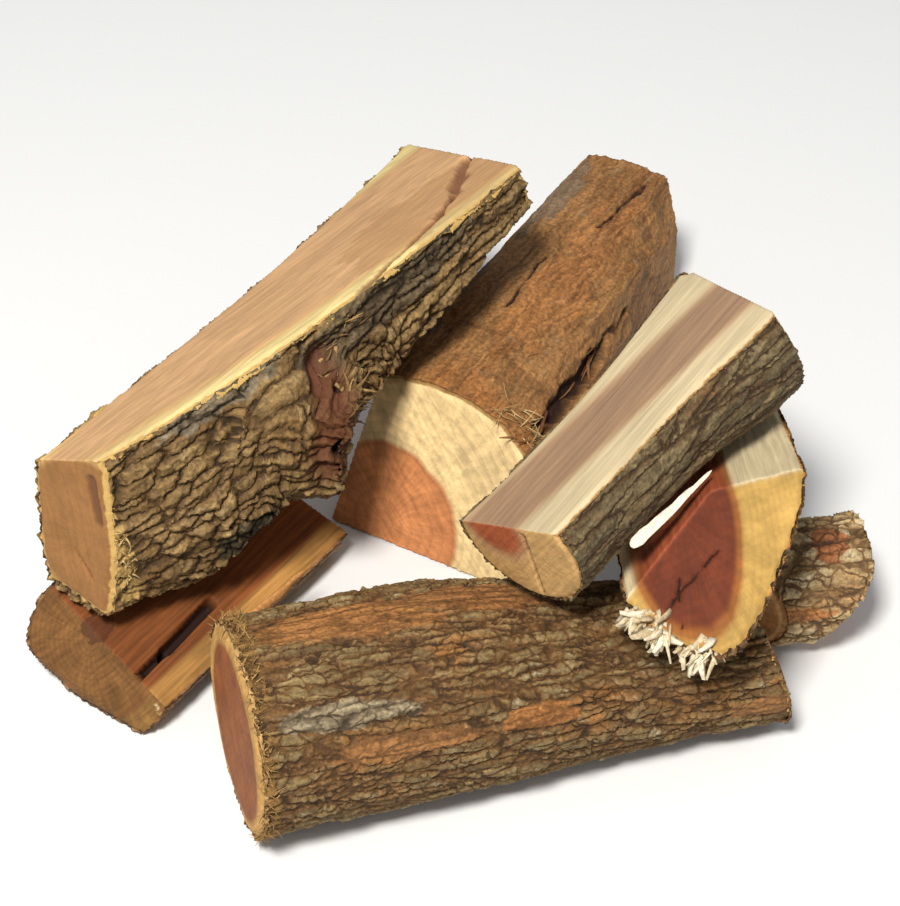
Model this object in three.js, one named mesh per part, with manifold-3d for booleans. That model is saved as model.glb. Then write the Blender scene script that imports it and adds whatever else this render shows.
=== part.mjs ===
// A stack of split firewood: seven hardwood logs lying crossed on each other on level ground.
// Millimetres, +Z up, X to the right and Y away from the front log. The origin is on the ground,
// under the middle of the stack.
import * as THREE from "three";
import { mergeVertices } from "three/addons/utils/BufferGeometryUtils.js";
import Module from "manifold-3d";

const wasm = await Module();
wasm.setup();

const SIDES = 32; // flats around a log
const RINGS = 12; // steps along a log
const REACH = 800; // larger than any log, for the cutters
const SQUARE = 8; // how sharply a pressed side turns into the round
const degrees = THREE.MathUtils.degToRad;

// ---------------------------------------------------------------- solids

function toSolid(geometry) {
  const bare = geometry.clone();
  bare.deleteAttribute("normal");
  bare.deleteAttribute("uv");
  const merged = mergeVertices(bare, 1e-3);
  return new wasm.Manifold(
    new wasm.Mesh({
      numProp: 3,
      vertProperties: merged.attributes.position.array,
      triVerts: new Uint32Array(merged.index.array),
    }),
  );
}

function toGeometry(solid) {
  const mesh = solid.getMesh();
  const geometry = new THREE.BufferGeometry();
  geometry.setAttribute("position", new THREE.BufferAttribute(mesh.vertProperties, 3));
  geometry.setIndex(new THREE.BufferAttribute(mesh.triVerts, 1));
  geometry.computeVertexNormals();
  return geometry;
}

// Takes away everything on the side of the plane that its normal points to.
function cut(solid, point, normal) {
  const direction = new THREE.Vector3(...normal).normalize();
  const cutter = new THREE.BoxGeometry(REACH, REACH, REACH);
  cutter.translate(0, 0, REACH / 2);
  cutter.applyQuaternion(new THREE.Quaternion().setFromUnitVectors(new THREE.Vector3(0, 0, 1), direction));
  cutter.translate(...point);
  return solid.subtract(toSolid(cutter));
}

// ---------------------------------------------------------------- one log

// A length of trunk along X, its near end at -length / 2. `bow` pushes its middle sideways and up,
// `waves` makes it less than round, each flat presses one side in to a distance at each end, and each
// swelling is a rounded bulge on one side. Sides are degrees from Y towards Z.
function trunk({ length, near, far, bow = [0, 0], waves = 0.03, phase = 0, flats = [], swellings = [] }) {
  const geometry = new THREE.CylinderGeometry(far, near, length, SIDES, RINGS);
  geometry.rotateZ(-Math.PI / 2);
  const place = geometry.attributes.position;
  for (let i = 0; i < place.count; i++) {
    const along = place.getX(i);
    const step = along / length + 0.5;
    const angle = Math.atan2(place.getZ(i), place.getY(i));
    const round = near + (far - near) * step;
    let radius = round * (1 + waves * (Math.cos(2 * angle + phase) + 0.6 * Math.sin(3 * angle + 2 * phase)));
    for (const flat of flats) {
      const facing = Math.cos(angle - degrees(flat.side));
      const reach = (flat.near + (flat.far - flat.near) * step) / Math.max(facing, 0.05);
      radius = (radius ** -SQUARE + reach ** -SQUARE) ** (-1 / SQUARE);
    }
    for (const swelling of swellings) {
      const across = 2 * round * Math.sin((angle - degrees(swelling.side)) / 2);
      const away = Math.hypot(along - swelling.at, across) / swelling.width;
      radius += swelling.height * Math.exp(-away * away);
    }
    const middle = Math.hypot(place.getY(i), place.getZ(i)) > 1e-6 ? radius : 0;
    const arch = 1 - (2 * along / length) ** 2;
    place.setY(i, middle * Math.cos(angle) + bow[0] * arch);
    place.setZ(i, middle * Math.sin(angle) + bow[1] * arch);
  }
  return toSolid(geometry);
}

// Sets a finished log down: `at` is its middle, `yaw` turns it on the ground, `rise` lifts its far end
// and `roll` turns it about its own length. A log on the ground is worn flat where it lies.
function lay(name, colour, solid, { at, yaw, rise = 0, roll = 0, onGround = false }) {
  const log = new THREE.Mesh();
  log.name = name;
  log.position.set(...at);
  log.rotation.set(degrees(roll), degrees(-rise), degrees(yaw), "ZYX");
  log.updateMatrix();
  if (onGround) {
    const toLog = log.matrix.clone().invert();
    const point = new THREE.Vector3(0, 0, 0).applyMatrix4(toLog);
    const down = new THREE.Vector3(0, 0, -1).transformDirection(toLog);
    solid = cut(solid, point.toArray(), down.toArray());
  }
  log.geometry = toGeometry(solid);
  log.material = new THREE.MeshStandardMaterial({ color: colour, roughness: 0.85, metalness: 0 });
  return log;
}

// ---------------------------------------------------------------- the seven logs

// The round log along the front: square sawn at its near end, chopped on the slant at the other.
function frontRound() {
  const length = 360;
  const swellings = [{ at: -50, side: 60, width: 110, height: 14 }];
  let log = trunk({ length, near: 62, far: 41, bow: [8, 0], phase: 0.5, swellings });
  log = cut(log, [-length / 2 + 14, 0, 0], [-1, -0.06, 0]);
  log = cut(log, [158, -28, -38], [0.95, 0.12, 0.26]);
  return lay("front_round", 0x7a6248, log, { at: [44, -184, 50], yaw: 14, rise: -3, onGround: true });
}

// The shorter log lying behind it.
function backRound() {
  const length = 160;
  let log = trunk({ length, near: 36, far: 41, phase: 1.2 });
  log = cut(log, [length / 2 - 18, 0, 0], [0.85, 0, -0.52]);
  log = cut(log, [6, -20, 0], [-0.7, -0.7, 0]);
  return lay("back_round", 0x86705a, log, { at: [170, -88, 38], yaw: 8, onGround: true });
}

// The slab low on the left, split side up.
function baseHalf() {
  const length = 220;
  let log = trunk({ length, near: 54, far: 52, phase: 2.0, flats: [{ side: -90, near: 40, far: 40 }] });
  log = cut(log, [0, 0, 6], [0, 0, 1]);
  log = cut(log, [74, 0, 0], [1, 0.1, 0]);
  log = cut(log, [-94, 0, 6], [-1, 0.1, 0.5]);
  return lay("base_half", 0xa8683c, log, { at: [-146, -63, 38], yaw: 55, roll: 22, onGround: true });
}

// The long bent split log at the upper left, with the stub of a broken branch.
function knottedSplit() {
  const length = 404;
  const flats = [
    { side: 198, near: 19, far: 73 },
    { side: 18, near: 36, far: 76 },
  ];
  const swellings = [{ at: -84, side: 262, width: 74, height: 34 }];
  let log = trunk({ length, near: 58, far: 72, bow: [-16, -4], waves: 0.02, phase: 0.9, flats, swellings });
  log = cut(log, [-188, 0, 0], [-1, -0.15, 0.22]);
  log = cut(log, [178, 0, 0], [1, -0.2, 0]);
  log = cut(log, [0, -26, -58], [0.1, -0.42, -0.9]);
  const branch = new THREE.CylinderGeometry(44, 58, 72, SIDES, 2);
  branch.translate(0, 36, 0);
  const towards = new THREE.Vector3(0.58, -0.53, -0.58).normalize();
  branch.applyQuaternion(new THREE.Quaternion().setFromUnitVectors(new THREE.Vector3(0, 1, 0), towards));
  branch.translate(-70, -14, -4);
  log = log.add(toSolid(branch));
  log = cut(log, [0, 0, 26], [0.108, 0, 1]);
  return lay("knotted_split", 0xc89a68, log, { at: [-96, 24, 144.8], yaw: 53, rise: 8, roll: -24 });
}

// The thick slab in the middle with smooth rust-brown bark, cut on the slant at its near end.
function barkWedge() {
  const length = 340;
  const flats = [{ side: 180, near: 102, far: 36 }];
  let log = trunk({ length, near: 138, far: 134, phase: 0.3, waves: 0.012, flats });
  log = cut(log, [0, 52, 30], [0, 1, 0.15]);
  log = cut(log, [-length / 2 + 20, 0, 30], [-1, 0, 0.42]);
  return lay("bark_wedge", 0xa4683c, log, { at: [45, 114, -30], yaw: 60, onGround: true });
}

// The bent half log on top, its sawn face up.
function sawnHalf() {
  const length = 215;
  const swellings = [{ at: 86, side: 205, width: 66, height: 24 }];
  let log = trunk({ length, near: 46, far: 42, bow: [-8, 0], phase: 1.7, swellings });
  log = cut(log, [0, 0, 13], [0, 0, 1]);
  log = cut(log, [length / 2 - 12, 0, 0], [1, -0.35, 0]);
  return lay("sawn_half", 0xd8c4a0, log, { at: [103, -95, 183], yaw: 51, rise: 13, roll: -29 });
}

// The half log at the right, with the yellow and dark red cut end.
function redHeartHalf() {
  const length = 260;
  let log = trunk({ length, near: 58, far: 52, waves: 0.13, phase: 0.2, flats: [{ side: 225, near: 41, far: 46 }] });
  log = cut(log, [0, 0, 15], [0, 0, 1]);
  log = cut(log, [0, -6, 15], [0, 0.5, 0.87]);
  log = cut(log, [-100, 0, -24], [-0.69, 0, 0.72]);
  return lay("red_heart_half", 0xc89848, log, { at: [141, -85, 130.5], yaw: 92, rise: -17, roll: -14 });
}

const stack = new THREE.Group();
stack.add(frontRound(), backRound(), baseHalf(), knottedSplit(), barkWedge(), sawnHalf(), redHeartHalf());

export default stack;
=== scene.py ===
# A stack of split firewood: rough bark, sawn ends, split faces, torn fibres.
import math
import bpy
from mathutils import Euler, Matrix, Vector


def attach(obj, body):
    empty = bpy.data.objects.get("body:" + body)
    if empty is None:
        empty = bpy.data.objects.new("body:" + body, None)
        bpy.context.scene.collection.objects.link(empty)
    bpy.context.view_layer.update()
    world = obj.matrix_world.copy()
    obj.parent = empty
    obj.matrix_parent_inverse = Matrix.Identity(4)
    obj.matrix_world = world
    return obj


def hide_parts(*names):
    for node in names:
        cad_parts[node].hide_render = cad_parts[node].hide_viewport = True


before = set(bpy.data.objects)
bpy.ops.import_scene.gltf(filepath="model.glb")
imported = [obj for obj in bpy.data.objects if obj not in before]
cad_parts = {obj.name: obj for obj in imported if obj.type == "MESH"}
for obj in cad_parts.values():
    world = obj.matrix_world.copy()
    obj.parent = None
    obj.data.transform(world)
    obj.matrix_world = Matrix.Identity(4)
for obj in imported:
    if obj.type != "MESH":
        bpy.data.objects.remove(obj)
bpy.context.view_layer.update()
mm = 0.001


# small helpers

def paint(red, green, blue):  # screen colour, 0 to 255, to the light value that the shaders use
    def linear(level):
        level /= 255
        return level / 12.92 if level < 0.04045 else ((level + 0.055) / 1.055) ** 2.4
    return (linear(red), linear(green), linear(blue), 1)


def metres(point):
    return tuple(value * mm for value in point)


def deselectAll():
    if bpy.context.object and bpy.context.object.mode != "OBJECT":
        bpy.ops.object.mode_set(mode="OBJECT")
    bpy.ops.object.select_all(action="DESELECT")


def makeActive(piece):
    deselectAll()
    piece.select_set(True)
    bpy.context.view_layer.objects.active = piece


def applyAll(piece):
    makeActive(piece)
    for modifier in list(piece.modifiers):
        bpy.ops.object.modifier_apply(modifier=modifier.name)


# node helpers: put() places a node, calc() and steer() do number and vector maths

def put(tree, kind, inputs=None, **settings):
    node = tree.nodes.new(kind)
    for key, value in settings.items():
        setattr(node, key, value)
    for key, value in (inputs or {}).items():
        if isinstance(value, bpy.types.NodeSocket):
            tree.links.new(value, node.inputs[key])
        else:
            node.inputs[key].default_value = value
    return node


def calc(tree, operation, *values, clamp=False):
    return put(tree, "ShaderNodeMath", dict(enumerate(values)), operation=operation, use_clamp=clamp).outputs[0]


def steer(tree, operation, *values):
    node = put(tree, "ShaderNodeVectorMath", dict(enumerate(values)), operation=operation)
    return node.outputs["Value" if operation in ("LENGTH", "DOT_PRODUCT", "DISTANCE") else "Vector"]


def stretch(tree, vector, amount):
    node = put(tree, "ShaderNodeVectorMath", {0: vector}, operation="SCALE")
    if isinstance(amount, bpy.types.NodeSocket):
        tree.links.new(amount, node.inputs["Scale"])
    else:
        node.inputs["Scale"].default_value = amount
    return node.outputs["Vector"]


def fade(tree, value, low, high, fromValue=0.0, toValue=1.0):  # smooth step from low to high
    return put(tree, "ShaderNodeMapRange",
               {"Value": value, "From Min": low, "From Max": high, "To Min": fromValue, "To Max": toValue},
               interpolation_type="SMOOTHSTEP").outputs["Result"]


def noise(tree, vector, scale, detail=2.0, roughness=0.5, output="Fac"):
    return put(tree, "ShaderNodeTexNoise",
               {"Vector": vector, "Scale": scale, "Detail": detail, "Roughness": roughness}).outputs[output]


def cells(tree, vector, feature="F1", output="Distance"):
    return put(tree, "ShaderNodeTexVoronoi", {"Vector": vector, "Scale": 1.0}, feature=feature).outputs[output]


def blend(tree, factor, first, second, mode="MIX"):
    node = put(tree, "ShaderNodeMix", {0: factor, 6: first, 7: second}, data_type="RGBA", blend_type=mode)
    return node.outputs[2]


def split(tree, vector):
    return put(tree, "ShaderNodeSeparateXYZ", {0: vector}).outputs


def join(tree, x, y, z):
    return put(tree, "ShaderNodeCombineXYZ", {0: x, 1: y, 2: z}).outputs[0]


def wobble(tree, vector, scale, amount, detail=2.0):  # pushes a place about by a few millimetres
    push = steer(tree, "SUBTRACT", noise(tree, vector, scale, detail, output="Color"), (0.5, 0.5, 0.5))
    return steer(tree, "ADD", vector, stretch(tree, push, amount))


def newGroup(name, kind, inputs, outputs):
    tree = bpy.data.node_groups.new(name, kind)
    for label, (socketType, value) in inputs.items():
        socket = tree.interface.new_socket(label, in_out="INPUT", socket_type=socketType)
        if value is not None:
            socket.default_value = value
    for label, socketType in outputs.items():
        tree.interface.new_socket(label, in_out="OUTPUT", socket_type=socketType)
    return tree, tree.nodes.new("NodeGroupInput").outputs, tree.nodes.new("NodeGroupOutput").inputs


def send(tree, target, **values):
    for label, value in values.items():
        tree.links.new(value, target[label])


def useGroup(tree, group, inputs):
    kind = "ShaderNodeGroup" if tree.bl_idname == "ShaderNodeTree" else "GeometryNodeGroup"
    node = tree.nodes.new(kind)
    node.node_tree = group
    for key, value in inputs.items():
        if isinstance(value, bpy.types.NodeSocket):
            tree.links.new(value, node.inputs[key])
        else:
            node.inputs[key].default_value = value
    return node.outputs


number, arrow = "NodeSocketFloat", "NodeSocketVector"


# The same patterns carve the wood and colour it, so each is made once for geometry and once for shading.

def makeBarkPattern(kind):
    tree, take, give = newGroup("barkPattern", kind, {
        "Grain": (arrow, None), "Length": (number, 0.03), "Width": (number, 0.012), "Crack": (number, 0.12),
        "Furrow": (number, 1.0), "Cross": (number, 0.5), "Ledges": (number, 0.5), "Branch": (arrow, (1, 0, 0)),
        "BranchFrom": (arrow, None), "BranchTurn": (number, 0.0), "Wander": (number, 0.01), "Shift": (number, 0.0)},
        {"Height": number, "Crack": number, "Tone": number, "Fine": number, "Ridge": number})
    fromBranch = steer(tree, "SUBTRACT", take["Grain"], take["BranchFrom"])
    sideways = steer(tree, "NORMALIZE", steer(tree, "MULTIPLY", take["Branch"], (0, 1, 1)))
    out = steer(tree, "DOT_PRODUCT", fromBranch, sideways)
    off = calc(tree, "ABSOLUTE", calc(tree, "SUBTRACT", split(tree, fromBranch)[0], 0.022))
    near = calc(tree, "MULTIPLY", fade(tree, out, 0.022, 0.06), fade(tree, off, 0.034, 0.085, 1.0, 0.0))
    turn = calc(tree, "MULTIPLY", near, take["BranchTurn"])
    hinge = steer(tree, "CROSS_PRODUCT", (1, 0, 0), take["Branch"])
    place = put(tree, "ShaderNodeVectorRotate", {"Vector": take["Grain"], "Center": take["BranchFrom"],
                                                 "Axis": hinge, "Angle": turn}, rotation_type="AXIS_ANGLE").outputs[0]
    place = steer(tree, "ADD", place, join(tree, take["Shift"], 0.0, 0.0))
    place = wobble(tree, place, 22.0, take["Wander"], 3.0)
    place = wobble(tree, place, 190.0, 0.0042, 2.0)
    place = wobble(tree, place, 560.0, 0.0012, 1.0)
    size = join(tree, take["Length"], take["Width"], take["Width"])
    ridges = steer(tree, "DIVIDE", place, size)
    blocks = steer(tree, "MULTIPLY", ridges, (3.1, 0.75, 0.75))
    chips = steer(tree, "MULTIPLY", ridges, (8.0, 2.3, 2.3))
    ridgeEdge = cells(tree, ridges, "DISTANCE_TO_EDGE")
    blockEdge = cells(tree, blocks, "DISTANCE_TO_EDGE")
    chipEdge = cells(tree, chips, "DISTANCE_TO_EDGE")
    tone = split(tree, cells(tree, blocks, "F1", "Color"))[0]
    slope = calc(tree, "MULTIPLY", fade(tree, ridgeEdge, 0.0, 0.4, 1.0, 0.0), take["Furrow"])
    line = calc(tree, "MULTIPLY", fade(tree, ridgeEdge, 0.008, take["Crack"], 1.0, 0.0), take["Furrow"])
    narrow = calc(tree, "MULTIPLY", take["Crack"], 0.75)
    crossLine = calc(tree, "MULTIPLY", fade(tree, blockEdge, 0.004, narrow, 1.0, 0.0), take["Cross"])
    broken = fade(tree, noise(tree, place, 60.0, 2.0), 0.4, 0.6)
    chipLine = calc(tree, "MULTIPLY", fade(tree, chipEdge, 0.0, 0.11, 1.0, 0.0), broken)
    flaky = noise(tree, steer(tree, "MULTIPLY", place, (45.0, 100.0, 100.0)), 1.0, 3.0, 0.55)
    steps = calc(tree, "MULTIPLY", flaky, 7.0)
    level = calc(tree, "ADD", calc(tree, "FLOOR", steps), fade(tree, calc(tree, "FRACT", steps), 0.7, 1.0))
    ledge = calc(tree, "MULTIPLY", calc(tree, "SUBTRACT", level, 2.0), 0.33, clamp=True)
    ridge = noise(tree, steer(tree, "MULTIPLY", place, (28.0, 300.0, 300.0)), 1.0, 3.0, 0.6)
    fine = noise(tree, take["Grain"], 420.0, 4.0, 0.6)
    top = calc(tree, "ADD", calc(tree, "MULTIPLY", tone, 0.14), 0.72)
    top = calc(tree, "ADD", top, calc(tree, "MULTIPLY", calc(tree, "SUBTRACT", ledge, 0.4), take["Ledges"]))
    top = calc(tree, "ADD", top, calc(tree, "MULTIPLY", calc(tree, "SUBTRACT", ridge, 0.5), 0.7))
    top = calc(tree, "ADD", top, calc(tree, "MULTIPLY", calc(tree, "SUBTRACT", fine, 0.5), 0.2))
    top = calc(tree, "MULTIPLY", top, calc(tree, "SUBTRACT", 1.0, calc(tree, "MULTIPLY", slope, 0.5)))
    top = calc(tree, "MULTIPLY", top, calc(tree, "SUBTRACT", 1.0, calc(tree, "MULTIPLY", line, 0.85)))
    top = calc(tree, "MULTIPLY", top, calc(tree, "SUBTRACT", 1.0, calc(tree, "MULTIPLY", crossLine, 0.7)))
    height = calc(tree, "MULTIPLY", top, calc(tree, "SUBTRACT", 1.0, calc(tree, "MULTIPLY", chipLine, 0.22)),
                  clamp=True)
    gaps = fade(tree, noise(tree, place, 75.0, 3.0, 0.6), 0.34, 0.6, 0.35, 1.0)
    crack = calc(tree, "MAXIMUM", line, calc(tree, "MULTIPLY", crossLine, 0.8))
    crack = calc(tree, "MULTIPLY", calc(tree, "MAXIMUM", crack, calc(tree, "MULTIPLY", chipLine, 0.3)), gaps)
    send(tree, give, Height=height, Crack=crack, Tone=tone, Fine=fine, Ridge=ridge)
    return tree


def makeGouge(kind):
    tree, take, give = newGroup("gouge", kind, {
        "Grain": (arrow, None), "Start": (arrow, None), "End": (arrow, None), "Width": (number, 0.003),
        "Ragged": (number, 0.004)}, {"Mask": number})
    place = wobble(tree, take["Grain"], 60.0, take["Ragged"], 3.0)
    run = steer(tree, "SUBTRACT", take["End"], take["Start"])
    reach = steer(tree, "SUBTRACT", place, take["Start"])
    along = calc(tree, "DIVIDE", steer(tree, "DOT_PRODUCT", reach, run), steer(tree, "DOT_PRODUCT", run, run))
    along = calc(tree, "MINIMUM", calc(tree, "MAXIMUM", along, 0.0), 1.0)
    away = steer(tree, "LENGTH", steer(tree, "SUBTRACT", reach, stretch(tree, run, along)))
    send(tree, give, Mask=fade(tree, calc(tree, "DIVIDE", away, take["Width"]), 0.45, 1.0, 1.0, 0.0))
    return tree


def makePatch(kind):
    tree, take, give = newGroup("patch", kind, {
        "Grain": (arrow, None), "Place": (arrow, None), "Reach": (arrow, (0.01, 0.01, 0.01)),
        "Ragged": (number, 0.6)}, {"Mask": number})
    away = steer(tree, "DIVIDE", steer(tree, "SUBTRACT", take["Grain"], take["Place"]), take["Reach"])
    rough = calc(tree, "SUBTRACT", noise(tree, steer(tree, "MULTIPLY", take["Grain"], (45.0, 130.0, 130.0)),
                                         1.0, 4.0, 0.65), 0.5)
    inside = calc(tree, "SUBTRACT", 1.0, steer(tree, "LENGTH", away))
    inside = calc(tree, "ADD", inside, calc(tree, "MULTIPLY", rough, calc(tree, "MULTIPLY", take["Ragged"], 2.4)))
    send(tree, give, Mask=fade(tree, inside, 0.0, 0.16))
    return tree


def makeWoodFibre(kind):
    tree, take, give = newGroup("woodFibre", kind, {"Grain": (arrow, None), "Coarse": (number, 1.0)},
                                {"Height": number, "Streak": number})
    place = wobble(tree, take["Grain"], 12.0, 0.008, 1.0)
    broad = noise(tree, steer(tree, "MULTIPLY", place, (5.0, 70.0, 70.0)), 1.0, 3.0, 0.55)
    narrow = noise(tree, steer(tree, "MULTIPLY", place, (14.0, 330.0, 330.0)), 1.0, 3.0, 0.6)
    height = calc(tree, "ADD", calc(tree, "MULTIPLY", broad, take["Coarse"]), calc(tree, "MULTIPLY", narrow, 0.5))
    send(tree, give, Height=height, Streak=narrow)
    return tree


barkPatterns = {kind: makeBarkPattern(kind) for kind in ("GeometryNodeTree", "ShaderNodeTree")}
gouges = {kind: makeGouge(kind) for kind in ("GeometryNodeTree", "ShaderNodeTree")}
woodFibres = {kind: makeWoodFibre(kind) for kind in ("GeometryNodeTree", "ShaderNodeTree")}
patches = {kind: makePatch(kind) for kind in ("GeometryNodeTree", "ShaderNodeTree")}


def barkInputs(log, grain):
    bark = log["bark"]
    return {"Grain": grain, "Length": bark["length"] * mm, "Width": bark["width"] * mm, "Crack": bark["crack"],
            "Furrow": bark["furrow"], "Cross": bark["cross"], "Ledges": bark["ledges"], "Branch": bark.get("branch", (1, 0, 0)),
            "BranchFrom": metres(bark.get("branchFrom", (0, 0, 0))),
            "BranchTurn": -math.radians(bark.get("branchTurn", 0)),
            "Wander": bark["wander"] * mm, "Shift": log["seed"] * 1.7}


# shading groups

def makeWoodRings():
    tree, take, give = newGroup("woodRings", "ShaderNodeTree", {
        "Grain": (arrow, None), "Pith": (arrow, None), "Lean": (number, 0.0), "Heart": (number, 0.03),
        "Soft": (number, 0.003), "Wander": (number, 0.008), "Spacing": (number, 0.003), "Oval": (number, 1.0)},
        {"Heart": number, "Edge": number, "Ring": number, "Ray": number, "Blotch": number})
    place = steer(tree, "SUBTRACT", take["Grain"], take["Pith"])
    x, y, z = split(tree, place)
    y = calc(tree, "SUBTRACT", y, calc(tree, "MULTIPLY", x, take["Lean"]))
    flatPlace = join(tree, calc(tree, "MULTIPLY", x, 0.2), y, calc(tree, "MULTIPLY", z, take["Oval"]))
    warped = wobble(tree, flatPlace, 22.0, take["Wander"], 2.0)
    a, b, c = split(tree, warped)
    radius = steer(tree, "LENGTH", join(tree, 0.0, b, c))
    low = calc(tree, "SUBTRACT", take["Heart"], take["Soft"])
    high = calc(tree, "ADD", take["Heart"], take["Soft"])
    heart = fade(tree, radius, low, high, 1.0, 0.0)
    rim = calc(tree, "ABSOLUTE", calc(tree, "SUBTRACT", radius, take["Heart"]))
    edge = fade(tree, rim, 0.0, calc(tree, "MULTIPLY", take["Soft"], 2.0), 1.0, 0.0)
    turn = calc(tree, "FRACT", calc(tree, "DIVIDE", radius, take["Spacing"]))
    ring = fade(tree, turn, 0.35, 1.0)
    angle = calc(tree, "ARCTAN2", b, c)
    ray = noise(tree, join(tree, calc(tree, "MULTIPLY", angle, 12.0), calc(tree, "MULTIPLY", radius, 55.0), 0.0),
                1.0, 3.0, 0.6)
    blotch = noise(tree, steer(tree, "MULTIPLY", place, (14.0, 40.0, 40.0)), 1.0, 3.0, 0.6)
    send(tree, give, Heart=heart, Edge=edge, Ring=ring, Ray=ray, Blotch=blotch)
    return tree


woodRings = makeWoodRings()


# carving: a copy of the log is meshed finely, then its surface is worked inwards

def makeRelief(name, log, barkSkin):
    tree = bpy.data.node_groups.new(name, "GeometryNodeTree")
    tree.interface.new_socket("Geometry", in_out="INPUT", socket_type="NodeSocketGeometry")
    tree.interface.new_socket("Geometry", in_out="OUTPUT", socket_type="NodeSocketGeometry")
    start = tree.nodes.new("NodeGroupInput").outputs[0]
    finish = tree.nodes.new("NodeGroupOutput").inputs[0]
    turn = (math.radians(log["roll"]), math.radians(-log["rise"]), math.radians(log["yaw"]))
    place = put(tree, "GeometryNodeInputPosition").outputs[0]
    normal = put(tree, "GeometryNodeInputNormal").outputs[0]
    moved = steer(tree, "SUBTRACT", place, metres(log["at"]))
    grain = put(tree, "ShaderNodeVectorRotate", {"Vector": moved, "Rotation": turn},
                rotation_type="EULER_XYZ", invert=True).outputs[0]
    facing = put(tree, "ShaderNodeVectorRotate", {"Vector": normal, "Rotation": turn},
                 rotation_type="EULER_XYZ", invert=True).outputs[0]
    shell = put(tree, "GeometryNodeObjectInfo", {"Object": barkSkin}).outputs["Geometry"]
    depth = put(tree, "GeometryNodeProximity", {0: shell}, target_element="FACES").outputs["Distance"]
    endness = calc(tree, "ABSOLUTE", split(tree, facing)[0])
    endness = put(tree, "GeometryNodeBlurAttribute", {"Value": endness, "Iterations": 2}).outputs[0]

    kind = "GeometryNodeTree"
    bark = useGroup(tree, barkPatterns[kind], barkInputs(log, grain))
    onBark = fade(tree, depth, 0.0005, log["bark"]["depth"] * mm * 0.8 + 0.001, 1.0, 0.0)
    carve = calc(tree, "SUBTRACT", 1.0, bark["Height"])
    for spot in log["patches"]:
        if spot.get("peeled"):
            mask = useGroup(tree, patches[kind], patchInputs(spot, grain))["Mask"]
            bare = calc(tree, "ADD", calc(tree, "MULTIPLY", bark["Ridge"], -0.5), 0.8)
            carve = put(tree, "ShaderNodeMix", {0: mask, 2: carve, 3: bare}, data_type="FLOAT").outputs[0]
    carve = calc(tree, "MULTIPLY", carve, onBark)
    carve = calc(tree, "MULTIPLY", carve, log["bark"]["depth"] * mm)
    wood = log["wood"]
    fibre = useGroup(tree, woodFibres[kind], {"Grain": grain, "Coarse": 1.0})["Height"]
    fibre = calc(tree, "SUBTRACT", 1.25, fibre)
    chop = noise(tree, grain, 30.0, 5.0, 0.55)
    chop = calc(tree, "SUBTRACT", 0.85, chop)
    onWood = calc(tree, "SUBTRACT", 1.0, onBark)
    onEnd = fade(tree, endness, 0.45, 0.75)
    sideCarve = calc(tree, "MULTIPLY", fibre, wood["sideRelief"] * mm)
    endCarve = calc(tree, "MULTIPLY", chop, wood["endRelief"] * mm)
    woodCarve = calc(tree, "ADD", calc(tree, "MULTIPLY", sideCarve, calc(tree, "SUBTRACT", 1.0, onEnd)),
                     calc(tree, "MULTIPLY", endCarve, onEnd))
    carve = calc(tree, "ADD", carve, calc(tree, "MULTIPLY", woodCarve, onWood))
    crumbs = noise(tree, grain, 260.0, 3.0, 0.6)
    inBast = calc(tree, "MULTIPLY", fade(tree, depth, 0.0, 0.001), fade(tree, depth, log["bark"]["thick"] * mm,
                                                                      log["bark"]["thick"] * mm + 0.002, 1.0, 0.0))
    carve = calc(tree, "ADD", carve, calc(tree, "MULTIPLY", calc(tree, "MULTIPLY", crumbs, inBast), 0.003))
    for gouge in log["gouges"]:
        mask = useGroup(tree, gouges[kind], gougeInputs(gouge, grain))["Mask"]
        carve = calc(tree, "ADD", carve, calc(tree, "MULTIPLY", mask, gouge["depth"] * mm))
    push = stretch(tree, normal, calc(tree, "MULTIPLY", calc(tree, "MAXIMUM", carve, 0.0), -1.0))
    for label, value, dataType in (("grain", grain, "FLOAT_VECTOR"), ("depth", depth, "FLOAT"),
                                   ("endness", endness, "FLOAT")):
        start = put(tree, "GeometryNodeStoreNamedAttribute", {"Geometry": start, "Name": label, "Value": value},
                    data_type=dataType, domain="POINT").outputs[0]
    start = put(tree, "GeometryNodeSetPosition", {"Geometry": start, "Offset": push}).outputs[0]
    tree.links.new(start, finish)
    return tree


def gougeInputs(gouge, grain):
    return {"Grain": grain, "Start": metres(gouge["start"]), "End": metres(gouge["end"]),
            "Width": gouge["width"] * mm, "Ragged": gouge.get("ragged", 3) * mm}


def copyNode(node, name):
    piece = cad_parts[node].copy()
    piece.data = piece.data.copy()
    piece.name = piece.data.name = name
    for key in list(piece.keys()):
        del piece[key]
    piece.parent = None
    piece.data.materials.clear()
    bpy.context.scene.collection.objects.link(piece)
    makeActive(piece)
    bpy.ops.object.mode_set(mode="EDIT")
    bpy.ops.mesh.select_all(action="SELECT")
    bpy.ops.mesh.remove_doubles(threshold=0.00001)
    bpy.ops.object.mode_set(mode="OBJECT")
    return piece


def selectCutFaces(piece, log):  # the sawn and split faces, found by their planes
    turned = Euler((math.radians(log["roll"]), math.radians(-log["rise"]), math.radians(log["yaw"]))).to_matrix()
    back, origin = turned.transposed(), Vector(metres(log["at"]))
    for face in piece.data.polygons:
        centre, facing = back @ (face.center - origin), back @ face.normal
        face.select = any(
            facing.dot(Vector(normal).normalized()) > 0.999
            and abs((centre - Vector(metres(point))).dot(Vector(normal).normalized())) < 0.4 * mm
            for point, normal in log["cuts"])


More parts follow.
